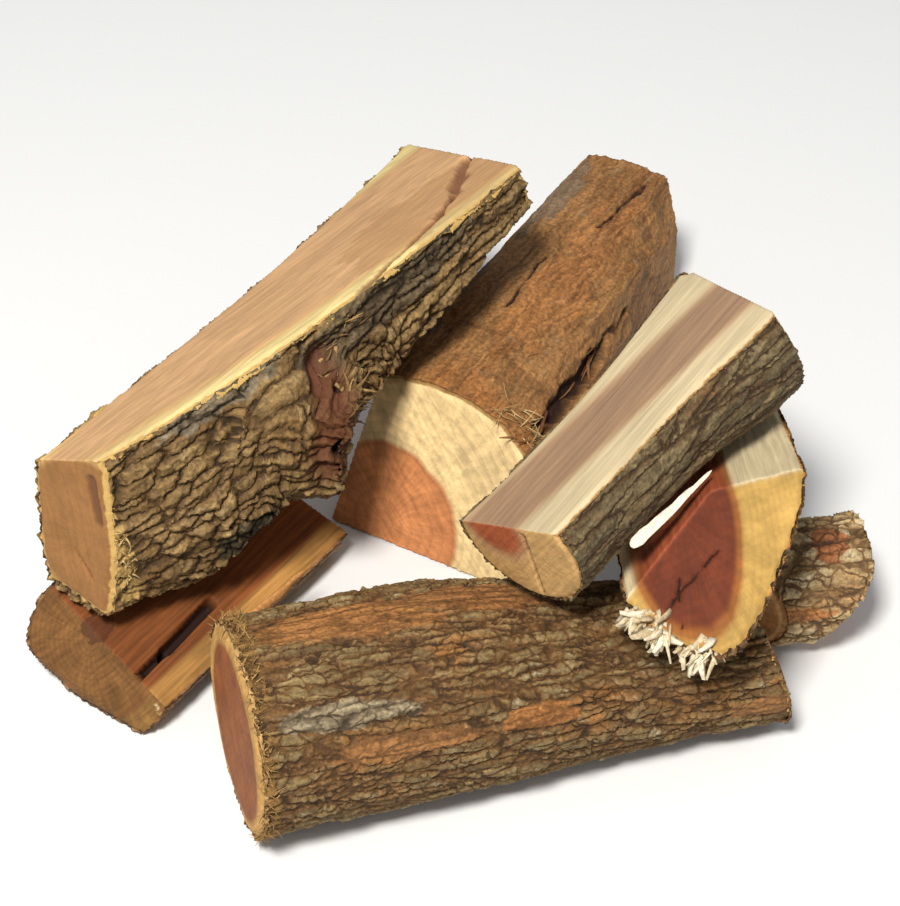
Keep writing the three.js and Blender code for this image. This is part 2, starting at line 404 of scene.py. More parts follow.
def carveLog(name, node, log):
    piece = copyNode(node, name)
    skin = copyNode(node, name + "Skin")
    makeActive(skin)
    bpy.ops.object.mode_set(mode="EDIT")
    bpy.ops.mesh.select_all(action="DESELECT")
    bpy.ops.mesh.select_mode(type="FACE")
    bpy.ops.object.mode_set(mode="OBJECT")
    selectCutFaces(skin, log)
    bpy.ops.object.mode_set(mode="EDIT")
    bpy.ops.mesh.delete(type="FACE")
    bpy.ops.object.mode_set(mode="OBJECT")
    makeActive(piece)
    remesh = piece.modifiers.new("fineMesh", "REMESH")
    remesh.mode = "VOXEL"
    remesh.voxel_size = log["mesh"] * mm
    relief = piece.modifiers.new("relief", "NODES")
    relief.node_group = makeRelief(name + "Relief", log, skin)
    applyAll(piece)
    bpy.data.objects.remove(skin)
    makeActive(piece)
    bpy.ops.object.shade_smooth()
    piece.data.materials.append(makeLogMaterial(name, log))
    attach(piece, "root")
    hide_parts(node)
    print(name, len(piece.data.polygons), "faces")
    return piece


def makeLogMaterial(name, log):
    material = bpy.data.materials.new(name)
    material.use_nodes = True
    tree = material.node_tree
    shader = tree.nodes["Principled BSDF"]
    read = {label: put(tree, "ShaderNodeAttribute", attribute_name=label).outputs[output]
            for label, output in (("grain", "Vector"), ("depth", "Fac"), ("endness", "Fac"))}
    grain, depth = read["grain"], read["depth"]
    onEnd = fade(tree, read["endness"], 0.45, 0.75)
    bark, wood, kind = log["bark"], log["wood"], "ShaderNodeTree"

    # bark
    skin = useGroup(tree, barkPatterns[kind], barkInputs(log, grain))
    wide = noise(tree, steer(tree, "MULTIPLY", grain, (14.0, 30.0, 30.0)), 1.0, 4.0, 0.6)
    colour = blend(tree, skin["Tone"], paint(*bark["tones"][0]), paint(*bark["tones"][1]))
    warm = calc(tree, "MAXIMUM", fade(tree, skin["Height"], 0.25, 0.62, 0.85, 0.0), fade(tree, wide, 0.5, 0.66))
    colour = blend(tree, warm, colour, paint(*bark["tones"][2]))
    pale = fade(tree, noise(tree, grain, 85.0, 5.0, 0.7), 0.54, 0.68, 0.0, bark["paleAmount"])
    pale = calc(tree, "MULTIPLY", pale, fade(tree, skin["Height"], 0.4, 0.7))
    colour = blend(tree, pale, colour, paint(*bark["pale"]))
    cracks = skin["Crack"]
    for spot in log["patches"]:
        if spot["on"] == "bark":
            mask = useGroup(tree, patches[kind], patchInputs(spot, grain))["Mask"]
            mask = calc(tree, "MULTIPLY", mask, spot.get("strength", 1.0))
            colour = blend(tree, mask, colour, paint(*spot["colour"]))
            if spot.get("peeled"):
                cracks = calc(tree, "MULTIPLY", cracks, calc(tree, "SUBTRACT", 1.0, calc(tree, "MULTIPLY", mask, 0.75)))
    # painted shade: the bark colour is darkened the lower it lies in its furrows and lightened on the ridge tops; grit
    # and along add the bark's own fine grain and ridge streaks
    shade = fade(tree, skin["Height"], 0.05, 0.85, 0.62, 1.12)
    grit = fade(tree, skin["Fine"], 0.3, 0.7, 0.7, 1.25)
    along = fade(tree, skin["Ridge"], 0.3, 0.7, 0.74, 1.22)
    shade = calc(tree, "MULTIPLY", calc(tree, "MULTIPLY", shade, grit), along)
    colour = blend(tree, 1.0, colour, join(tree, shade, shade, shade), "MULTIPLY")
    # painted shade: the crack lines take the near-black crackColour, standing in for the shade inside the bark's cracks
    barkColour = blend(tree, calc(tree, "MULTIPLY", cracks, bark.get("crackAmount", 0.78)), colour,
                       paint(*bark["crackColour"]))

    # wood
    rings = useGroup(tree, woodRings, {
        "Grain": grain, "Pith": metres(wood["pith"]), "Lean": wood.get("lean", 0.0), "Heart": wood["heartReach"] * mm,
        "Soft": wood["soft"] * mm, "Wander": wood["wander"] * mm, "Spacing": wood["spacing"] * mm,
        "Oval": wood.get("oval", 1.0)})
    fibre = useGroup(tree, woodFibres[kind], {"Grain": grain, "Coarse": 1.0})
    # painted shade in part: the end colours give the end grain's own colour, and on the knotted and base logs they are
    # set darker to stand for sawn ends in half-shadow
    sap = blend(tree, onEnd, paint(*wood["sapSide"]), paint(*wood["sapEnd"]))
    heart = blend(tree, onEnd, paint(*wood["heartSide"]), paint(*wood["heartEnd"]))
    colour = blend(tree, rings["Heart"], sap, heart)
    colour = blend(tree, calc(tree, "MULTIPLY", rings["Edge"], wood["edgeAmount"]), colour, paint(*wood["edge"]))
    tint = fade(tree, rings["Blotch"], 0.3, 0.7, 0.84, 1.14)
    streak = fade(tree, fibre["Streak"], 0.3, 0.7, 0.84, 1.13)
    rays = fade(tree, rings["Ray"], 0.3, 0.7, 0.86, 1.12)
    streak = put(tree, "ShaderNodeMix", {0: onEnd, 2: streak, 3: rays}, data_type="FLOAT").outputs[0]
    broad = fade(tree, fibre["Height"], 0.55, 1.0, 0.86, 1.08)
    ringShade = calc(tree, "SUBTRACT", 1.0, calc(tree, "MULTIPLY", rings["Ring"], wood["ringAmount"]))
    shade = calc(tree, "MULTIPLY", calc(tree, "MULTIPLY", tint, streak), calc(tree, "MULTIPLY", broad, ringShade))
    sawn = put(tree, "ShaderNodeVectorRotate", {"Vector": grain, "Angle": math.radians(wood["sawTurn"])},
               rotation_type="X_AXIS").outputs[0]
    sawn = wobble(tree, sawn, 14.0, 0.01)
    scratch = noise(tree, steer(tree, "MULTIPLY", sawn, (20.0, 20.0, 420.0)), 1.0, 4.0, 0.65)
    scratch = fade(tree, scratch, 0.3, 0.7, 1.0 - wood["sawAmount"], 1.0 + wood["sawAmount"] * 0.6)
    scratch = put(tree, "ShaderNodeMix", {0: onEnd, 2: 1.0, 3: scratch}, data_type="FLOAT").outputs[0]
    shade = calc(tree, "MULTIPLY", calc(tree, "POWER", shade, wood["contrast"]), scratch)
    colour = blend(tree, 1.0, colour, join(tree, shade, shade, shade), "MULTIPLY")
    for spot in log["patches"]:
        if spot["on"] == "wood":
            mask = useGroup(tree, patches[kind], patchInputs(spot, grain))["Mask"]
            colour = blend(tree, calc(tree, "MULTIPLY", mask, spot.get("strength", 1.0)), colour,
                           paint(*spot["colour"]))
    ragged = calc(tree, "MULTIPLY", calc(tree, "SUBTRACT", noise(tree, grain, 160.0, 3.0, 0.6), 0.5), 0.003)
    deep = calc(tree, "ADD", depth, ragged)
    bast = blend(tree, noise(tree, grain, 300.0, 3.0), paint(*bark["bast"][0]), paint(*bark["bast"][1]))
    thick = bark["thick"] * mm
    woodColour = blend(tree, fade(tree, deep, thick - 0.0006, thick + 0.0006), bast, colour)
    inside = fade(tree, deep, 0.0007, 0.0019)
    colour = blend(tree, inside, barkColour, woodColour)
    for gouge in log["gouges"]:
        mask = useGroup(tree, gouges[kind], gougeInputs(gouge, grain))["Mask"]
        colour = blend(tree, calc(tree, "MULTIPLY", mask, gouge.get("strength", 1.0)), colour,
                       paint(*gouge["colour"]))

    height = blend(tree, inside, join(tree, skin["Height"], skin["Fine"], 0.0),
                   join(tree, calc(tree, "MULTIPLY", fibre["Height"], 0.5), fibre["Streak"], 0.0))
    tall, small, unused = split(tree, height)
    height = calc(tree, "ADD", calc(tree, "MULTIPLY", tall, 0.7), calc(tree, "MULTIPLY", small, 0.5))
    bump = put(tree, "ShaderNodeBump", {"Strength": 0.8, "Distance": 0.0012, "Height": height}).outputs[0]
    tree.links.new(bump, shader.inputs["Normal"])
    tree.links.new(colour, shader.inputs["Base Color"])
    rough = calc(tree, "ADD", calc(tree, "MULTIPLY", fibre["Streak"], 0.25), 0.62)
    tree.links.new(rough, shader.inputs["Roughness"])
    shader.inputs["Specular IOR Level"].default_value = 0.25
    return material


def patchInputs(spot, grain):
    return {"Grain": grain, "Place": metres(spot["at"]), "Reach": metres(spot["reach"]),
            "Ragged": spot.get("ragged", 0.6)}


# camera, light and floor

shot = {"aim": (0.002, -0.015, 0.080), "elevation": 42, "distance": 1.5, "lens": 97.7}
tilt = math.radians(shot["elevation"])
spotAt = Vector(shot["aim"]) + shot["distance"] * Vector((0, -math.cos(tilt), math.sin(tilt)))
bpy.ops.object.camera_add(location=spotAt, rotation=(math.pi / 2 - tilt, 0, 0))
camera = bpy.context.object
camera.data.lens = shot["lens"]
camera.data.clip_start = 0.05
bpy.context.scene.camera = camera

light = {"towards": (-0.15, -0.5, 0.85), "away": 3.0, "size": 0.5, "power": 104, "sky": 0.38}
towards = Vector(light["towards"]).normalized()
bpy.ops.object.light_add(type="AREA", location=towards * light["away"])
lamp = bpy.context.object
lamp.rotation_euler = towards.to_track_quat("Z", "Y").to_euler()
lamp.data.size = light["size"]
lamp.data.energy = light["power"]
lamp.data.color = (1.0, 0.97, 0.93)
world = bpy.context.scene.world or bpy.data.worlds.new("sky")
bpy.context.scene.world = world
world.use_nodes = True
world.node_tree.nodes["Background"].inputs["Color"].default_value = (0.9, 0.95, 1.0, 1)
world.node_tree.nodes["Background"].inputs["Strength"].default_value = light["sky"]
bpy.context.scene.view_settings.view_transform = "Standard"

deselectAll()
bpy.ops.mesh.primitive_plane_add(size=12, location=(0, 0, -0.0005))
floor = bpy.context.object
floor.name = "floor"
floorMaterial = bpy.data.materials.new("floor")
floorMaterial.use_nodes = True
floorMaterial.node_tree.nodes["Principled BSDF"].inputs["Base Color"].default_value = (0.82, 0.82, 0.81, 1)
floorMaterial.node_tree.nodes["Principled BSDF"].inputs["Roughness"].default_value = 0.8
floor.data.materials.append(floorMaterial)
print("camera, light and floor done")


# the seven logs: places as in the frame, millimetres; cuts are (point, outward direction) in the log's own frame

frontRound = {
    "at": (44, -184, 50), "yaw": 14, "rise": -3, "roll": 0, "mesh": 1.4, "seed": 1,
    "cuts": [((-166, 0, 0), (-1, -0.06, 0)), ((158, -28, -38), (0.95, 0.12, 0.26))],
    "bark": {"length": 44, "width": 7.4, "wander": 7, "crack": 0.1, "furrow": 1.0, "cross": 0.8, "ledges": 0.4, "depth": 4.4,
             "thick": 5, "tones": [(104, 84, 53), (135, 113, 74), (136, 94, 50)], "pale": (150, 140, 116),
             "paleAmount": 0.6, "crackColour": (34, 25, 17), "bast": [(150, 110, 66), (214, 176, 116)]},
    "wood": {"pith": (0, 2, 0), "heartReach": 50, "soft": 1.6, "wander": 5, "spacing": 3.5, "ringAmount": 0.10,
             "sapSide": (200, 158, 96), "sapEnd": (200, 154, 86), "heartSide": (166, 98, 54),
             "heartEnd": (147, 84, 40), "edge": (160, 102, 52), "edgeAmount": 0.5, "sideRelief": 1.0,
             "endRelief": 1.6, "sawTurn": 60, "sawAmount": 0.12, "contrast": 1.0},
    "gouges": [],
    "patches": [
        {"on": "bark", "at": (-108, 16, 62), "reach": (64, 17, 20), "colour": (156, 106, 58), "peeled": 1},
        {"on": "bark", "at": (-20, 24, 60), "reach": (56, 15, 18), "colour": (152, 104, 58), "peeled": 1},
        {"on": "bark", "at": (-70, -54, 30), "reach": (54, 7, 9), "colour": (146, 100, 56), "peeled": 1},
        {"on": "bark", "at": (-2, -46, 29), "reach": (26, 6, 10), "colour": (160, 106, 56), "peeled": 1},
        {"on": "bark", "at": (132, -41, 0), "reach": (24, 9, 9), "colour": (154, 108, 62), "peeled": 1},
        {"on": "bark", "at": (-112, -41, 48), "reach": (46, 8, 9), "colour": (154, 142, 116), "strength": 0.6},
        {"on": "bark", "at": (-160, 0, 0), "reach": (13, 90, 90), "colour": (136, 102, 56), "ragged": 0.4},
    ],
}

backRound = {
    "at": (170, -88, 38), "yaw": 8, "rise": 0, "roll": 0, "mesh": 1.3, "seed": 2,
    "cuts": [((62, 0, 0), (0.85, 0, -0.52)), ((6, -20, 0), (-0.7, -0.7, 0))],
    "bark": {"length": 40, "width": 11, "wander": 8, "crack": 0.1, "furrow": 0.9, "cross": 1.0, "ledges": 0.3, "depth": 3.4,
             "thick": 4, "tones": [(154, 130, 88), (190, 168, 126), (170, 128, 80)], "pale": (198, 190, 166),
             "paleAmount": 0.75, "crackColour": (56, 41, 29), "bast": [(140, 96, 56), (190, 150, 96)]},
    "wood": {"pith": (0, 0, 0), "heartReach": 24, "soft": 2, "wander": 4, "spacing": 3, "ringAmount": 0.10,
             "sapSide": (206, 164, 106), "sapEnd": (200, 156, 98), "heartSide": (170, 96, 60),
             "heartEnd": (168, 96, 60), "edge": (196, 128, 70), "edgeAmount": 0.5, "sideRelief": 1.4,
             "endRelief": 1.6, "sawTurn": 20, "sawAmount": 0.12, "contrast": 1.0},
    "gouges": [],
    "patches": [{"on": "bark", "at": (30, -38, 8), "reach": (26, 8, 5), "colour": (172, 116, 68), "peeled": 1},
                {"on": "bark", "at": (55, -10, 40), "reach": (12, 14, 10), "colour": (150, 96, 58)}],
}

baseHalf = {
    "at": (-146, -63, 38), "yaw": 55, "rise": 0, "roll": 22, "mesh": 1.4, "seed": 3,
    "cuts": [((0, 0, 6), (0, 0, 1)), ((74, 0, 0), (1, 0.1, 0)), ((-110, 0, 0), (-1, 0, 0)),
             ((-94, 0, 6), (-1, 0.1, 0.5))],
    "bark": {"length": 70, "width": 11, "wander": 8, "crack": 0.09, "furrow": 0.9, "cross": 0.7, "ledges": 0.3, "depth": 3,
             "thick": 3, "tones": [(112, 90, 66), (144, 118, 88), (138, 96, 62)], "pale": (150, 136, 118),
             "paleAmount": 0.5, "crackColour": (30, 20, 14), "bast": [(120, 80, 48), (170, 124, 76)]},
    # painted shade: sapEnd and heartEnd are darker than the side colours so the sawn end looks shaded
    "wood": {"pith": (0, 10, 0), "heartReach": 46, "soft": 1.2, "wander": 5, "spacing": 3.2, "ringAmount": 0.12,
             "sapSide": (176, 128, 68), "sapEnd": (136, 98, 50), "heartSide": (138, 79, 38),
             "heartEnd": (126, 86, 44), "edge": (128, 72, 36), "edgeAmount": 0.4, "sideRelief": 1.8,
             "endRelief": 2.6, "sawTurn": 70, "sawAmount": 0.2, "contrast": 1.3},
    "gouges": [{"start": (-108, -27, 6), "end": (-70, -26, 6), "width": 3.2, "depth": 9, "ragged": 2,
                "colour": (38, 18, 10)},
               {"start": (-70, -26, 6), "end": (-26, -24, 6), "width": 4.4, "depth": 10, "ragged": 2,
                "colour": (38, 18, 10)}],
    # painted shadow: the first, dark wood patch is the shadow of the knotted log's frayed end
    "patches": [{"on": "wood", "at": (-92, 12, 6), "reach": (16, 9, 8), "colour": (70, 38, 22), "strength": 0.7},
                {"on": "wood", "at": (-108, -44, 4), "reach": (8, 9, 8), "colour": (226, 200, 160), "strength": 0.6}],
}

knottedSplit = {
    "at": (-96, 24, 144.8), "yaw": 53, "rise": 8, "roll": -24, "mesh": 1.56, "seed": 4,
    "cuts": [((0, 0, 26), (0.108, 0, 1)), ((-188, 0, 0), (-1, -0.15, 0.22)), ((178, 0, 0), (1, -0.2, 0))],
    "bark": {"length": 92, "width": 9, "wander": 14, "crack": 0.09, "furrow": 1.0, "cross": 0.35, "ledges": 0.45, "depth": 6,
             "thick": 6, "branch": (0.594, -0.542, -0.594), "branchFrom": (-70, -14, -4), "branchTurn": 54, "tones": [(118, 93, 57), (153, 124, 79), (130, 98, 57)],
             "pale": (138, 127, 104), "paleAmount": 0.45, "crackColour": (34, 26, 17),
             "bast": [(170, 130, 70), (214, 180, 110)]},
    # painted shade: sapEnd and heartEnd are darker than the side colours so the sawn end looks half-shaded
    "wood": {"pith": (0, -9, -4), "heartReach": 52, "soft": 2.4, "wander": 5, "spacing": 5, "ringAmount": 0.05,
             "sapSide": (222, 198, 136), "sapEnd": (162, 126, 72), "heartSide": (201, 158, 113),
             "heartEnd": (150, 105, 59), "edge": (204, 160, 102), "edgeAmount": 0.5, "sideRelief": 1.2,
             "endRelief": 1.8, "sawTurn": 80, "sawAmount": 0.1, "contrast": 0.55},
    "gouges": [
        {"start": (15, -66, 24), "end": (101, -55, 15), "width": 3, "depth": 3, "ragged": 5, "colour": (104, 60, 34),
         "strength": 0.8},
        {"start": (101, -52, 15), "end": (130, -40, 12), "width": 4, "depth": 4, "ragged": 12, "colour": (96, 54, 30),
         "strength": 0.8},
        {"start": (130, -40, 12), "end": (170, -14, 8), "width": 7, "depth": 4, "ragged": 18, "colour": (104, 60, 36),
         "strength": 0.75},
        # the stub's hollow: its broken wood is painted dark red-brown, partly its own colour and partly painted shade
        # on the shaded face, and its near-black core is painted shade deep in the hollow
        {"start": (-32, -76, 4), "end": (-76, -82, -56), "width": 20, "depth": 7, "ragged": 9,
         "colour": (96, 54, 32), "strength": 0.85},
        {"start": (-30, -74, -6), "end": (-62, -84, -44), "width": 7, "depth": 8, "ragged": 9,
         "colour": (26, 15, 10)},
        {"start": (-180, 12, 26), "end": (-192, 9, -14), "width": 1.5, "depth": 2, "ragged": 5,
         "colour": (132, 84, 52), "strength": 0.8},
        {"start": (-192, 9, -14), "end": (-198, 3, -35), "width": 1.5, "depth": 2, "ragged": 5,
         "colour": (132, 84, 52), "strength": 0.8},
        {"start": (-177, -24, 32), "end": (-186, -18, 6), "width": 4.5, "depth": 2, "ragged": 2,
         "colour": (104, 68, 44), "strength": 0.85},
    ],
    "patches": [
        {"on": "bark", "at": (-95, -58, 32), "reach": (60, 18, 12), "colour": (118, 110, 92), "strength": 0.7},
        # painted shade: the next, dark patch darkens the bark under the branch stub
        {"on": "bark", "at": (-118, -44, -62), "reach": (30, 18, 14), "colour": (52, 48, 34), "strength": 0.85},
        {"on": "bark", "at": (40, -66, 10), "reach": (90, 16, 20), "colour": (88, 78, 60), "strength": 0.7},
        {"on": "bark", "at": (-186, -40, -6), "reach": (9, 60, 80), "colour": (190, 156, 94), "ragged": 0.4},
        {"on": "wood", "at": (112, -40, 16), "reach": (90, 40, 30), "colour": (160, 116, 72), "strength": 0.4},
    ],
}

barkWedge = {
    "at": (45, 114, -30), "yaw": 60, "rise": 0, "roll": 0, "mesh": 1.5, "seed": 5,
    "cuts": [((0, 52, 30), (0, 1, 0.15)), ((-150, 0, 30), (-1, 0, 0.42)), ((170, 0, 0), (1, 0, 0)),
             ((0, 0, 30), (0, 0, -1))],
    "bark": {"length": 130, "width": 26, "wander": 16, "crack": 0.03, "furrow": 0.3, "cross": 0.08, "ledges": 0.2, "depth": 2.6,
             "thick": 4, "tones": [(128, 90, 52), (156, 112, 66), (148, 98, 52)], "pale": (124, 106, 80),
             "paleAmount": 0.6, "crackColour": (58, 34, 22), "bast": [(120, 84, 50), (196, 158, 96)]},
    "wood": {"pith": (0, 15, 40), "heartReach": 50, "soft": 1.6, "wander": 15, "spacing": 7, "ringAmount": 0.14,
             "sapSide": (230, 204, 150), "sapEnd": (240, 208, 150), "heartSide": (190, 112, 70),
             "heartEnd": (208, 136, 84), "edge": (180, 112, 70), "edgeAmount": 0.5, "sideRelief": 1.6,
             "endRelief": 1.8, "sawTurn": -40, "sawAmount": 0.16, "contrast": 0.9},
    "gouges": [
        {"start": (-16, 0, 134), "end": (44, 3, 133), "width": 2.0, "depth": 3, "ragged": 9, "colour": (52, 31, 21)},
        {"start": (92, -12, 132), "end": (150, -17, 130), "width": 2.2, "depth": 3, "ragged": 9,
         "colour": (52, 31, 21)},
        # painted shade: the wide gouge's near-black colour is the shade in the deep groove under the peeling bark
        {"start": (-90, -67, 113), "end": (70, -60, 103), "width": 8, "depth": 8, "ragged": 14,
         "colour": (48, 28, 18)},
    ],
    "patches": [
        {"on": "bark", "at": (-30, 42, 118), "reach": (90, 14, 30), "colour": (112, 94, 74), "ragged": 0.8, "strength": 0.7},
        {"on": "bark", "at": (110, 30, 124), "reach": (50, 12, 20), "colour": (116, 98, 78), "ragged": 0.9, "strength": 0.8},
        {"on": "bark", "at": (40, -20, 130), "reach": (110, 20, 14), "colour": (166, 106, 56), "strength": 0.4,
         "ragged": 1.2},
    ],
}

sawnHalf = {
    "at": (103, -95, 183), "yaw": 51, "rise": 13, "roll": -29, "mesh": 1.2, "seed": 6,
    "cuts": [((0, 0, 13), (0, 0, 1)), ((95.5, 0, 0), (1, -0.35, 0)), ((-107.5, 0, 0), (-1, 0, 0))],
    "bark": {"length": 120, "width": 9, "wander": 8, "crack": 0.08, "furrow": 0.7, "cross": 0.35, "ledges": 0.5, "depth": 3.6,
             "thick": 3.5, "tones": [(86, 74, 51), (117, 100, 69), (108, 80, 49)], "pale": (122, 116, 92),
             "paleAmount": 0.5, "crackColour": (22, 17, 12), "bast": [(120, 84, 48), (186, 144, 84)]},
    "wood": {"pith": (0, -5, 11), "lean": -0.16, "heartReach": 22, "soft": 4, "wander": 4, "spacing": 4,
             "ringAmount": 0.05, "sapSide": (206, 187, 148), "sapEnd": (202, 160, 102), "heartSide": (156, 124, 96),
             "heartEnd": (168, 88, 52), "edge": (184, 146, 108), "edgeAmount": 0.4, "sideRelief": 0.9,
             "endRelief": 1.4, "sawTurn": 30, "sawAmount": 0.2, "contrast": 0.5},
    "gouges": [{"start": (-107, -12, 8), "end": (-107, 6, -40), "width": 1.6, "depth": 4, "ragged": 2,
                "colour": (90, 52, 30)}],
    "patches": [{"on": "bark", "at": (84, -44, 4), "reach": (26, 12, 14), "colour": (180, 112, 58)},
                {"on": "bark", "at": (95, -38, -18), "reach": (16, 14, 14), "colour": (176, 108, 56)}],
}

redHeartHalf = {
    "at": (141, -85, 130.5), "yaw": 92, "rise": -17, "roll": -14, "mesh": 1.3, "seed": 7,
    "cuts": [((0, 0, 15), (0, 0, 1)), ((0, -6, 15), (0, 0.5, 0.87)), ((-100, 0, -24), (-0.69, 0, 0.72)),
             ((130, 0, 0), (1, 0, 0))],
    "bark": {"length": 90, "width": 11, "wander": 8, "crack": 0.12, "furrow": 1.0, "cross": 0.5, "ledges": 0.3, "depth": 3.4,
             "thick": 3.5, "tones": [(94, 78, 56), (122, 100, 70), (114, 82, 50)], "pale": (130, 120, 100),
             "paleAmount": 0.4, "crackColour": (22, 17, 13), "bast": [(160, 104, 50), (196, 140, 76)]},
    "wood": {"pith": (0, 16, 8), "heartReach": 33, "oval": 0.7, "soft": 2, "wander": 9, "spacing": 3.4, "ringAmount": 0.08,
             "sapSide": (214, 196, 156), "sapEnd": (190, 148, 68), "heartSide": (150, 76, 46),
             "heartEnd": (100, 44, 22), "edge": (150, 88, 36), "edgeAmount": 0.85, "sideRelief": 1.8,
             "endRelief": 4, "sawTurn": 10, "sawAmount": 0.1, "contrast": 0.9},
    "gouges": [{"start": (-104, 34, -28), "end": (-84, -4, -8), "width": 1.1, "depth": 3, "ragged": 6,
                "colour": (48, 22, 14)},
               {"start": (-112, 28, -36), "end": (-92, 22, -16), "width": 1.0, "depth": 3, "ragged": 5,
                "colour": (48, 22, 14)}],
    "patches": [],
}

pieces = {}
for name, node, log in (("frontLog", "front_round", frontRound), ("backLog", "back_round", backRound),
                        ("baseLog", "base_half", baseHalf), ("knottedLog", "knotted_split", knottedSplit),
                        ("wedgeLog", "bark_wedge", barkWedge), ("topLog", "sawn_half", sawnHalf),
                        ("redHeartLog", "red_heart_half", redHeartHalf)):
    pieces[name] = carveLog(name, node, log)


# fibres and splinters: one is modelled, then copies grow out of a patch of a log

def makeFibreMaterial(name, colours):
    material = bpy.data.materials.new(name)
    material.use_nodes = True
    tree = material.node_tree
    shader = tree.nodes["Principled BSDF"]
    tint = put(tree, "ShaderNodeAttribute", attribute_name="tint").outputs["Fac"]
    place = put(tree, "ShaderNodeTexCoord").outputs["Object"]
    spots = noise(tree, place, 500.0, 3.0)
    colour = blend(tree, tint, paint(*colours[0]), paint(*colours[1]))
    shade = fade(tree, spots, 0.3, 0.7, 0.75, 1.15)
    colour = blend(tree, 1.0, colour, join(tree, shade, shade, shade), "MULTIPLY")
    tree.links.new(colour, shader.inputs["Base Color"])
    tree.links.new(put(tree, "ShaderNodeBump", {"Strength": 0.4, "Distance": 0.0005, "Height": spots}).outputs[0],
                   shader.inputs["Normal"])
    shader.inputs["Roughness"].default_value = 0.8
    shader.inputs["Specular IOR Level"].default_value = 0.25
    return material


def selectLevel(piece, height):  # the ring of points at one height
    bpy.ops.object.mode_set(mode="EDIT")
    bpy.ops.mesh.select_mode(type="VERT")
    bpy.ops.mesh.select_all(action="DESELECT")
    bpy.ops.object.mode_set(mode="OBJECT")
    for vertex in piece.data.vertices:
        vertex.select = abs(vertex.co.z - height) < 0.02 * mm
    bpy.ops.object.mode_set(mode="EDIT")


def makeSplinter(name, long, thick, flat, bend, blunt=0.15):  # a tapered sliver along Z that curls towards X
    deselectAll()
    bpy.ops.mesh.primitive_cone_add(vertices=5, radius1=thick * mm, radius2=thick * blunt * mm, depth=long * mm,
                                    location=(0, 0, long * mm / 2))
    splinter = bpy.context.object
    splinter.name = name
    bpy.ops.object.transform_apply(location=True)
    bpy.ops.object.mode_set(mode="EDIT")
    for share in (0.35, 0.7):
        bpy.ops.mesh.select_all(action="SELECT")
        bpy.ops.mesh.bisect(plane_co=(0, 0, long * share * mm), plane_no=(0, 0, 1))
    bpy.ops.mesh.select_all(action="SELECT")
    bpy.ops.transform.resize(value=(1, flat, 1), center_override=(0, 0, 0))
    for share in (0.35, 0.7, 1):
        selectLevel(splinter, long * share * mm)
        bpy.ops.transform.translate(value=(share * share * bend * mm, 0, 0))
    bpy.ops.object.mode_set(mode="OBJECT")
    return splinter


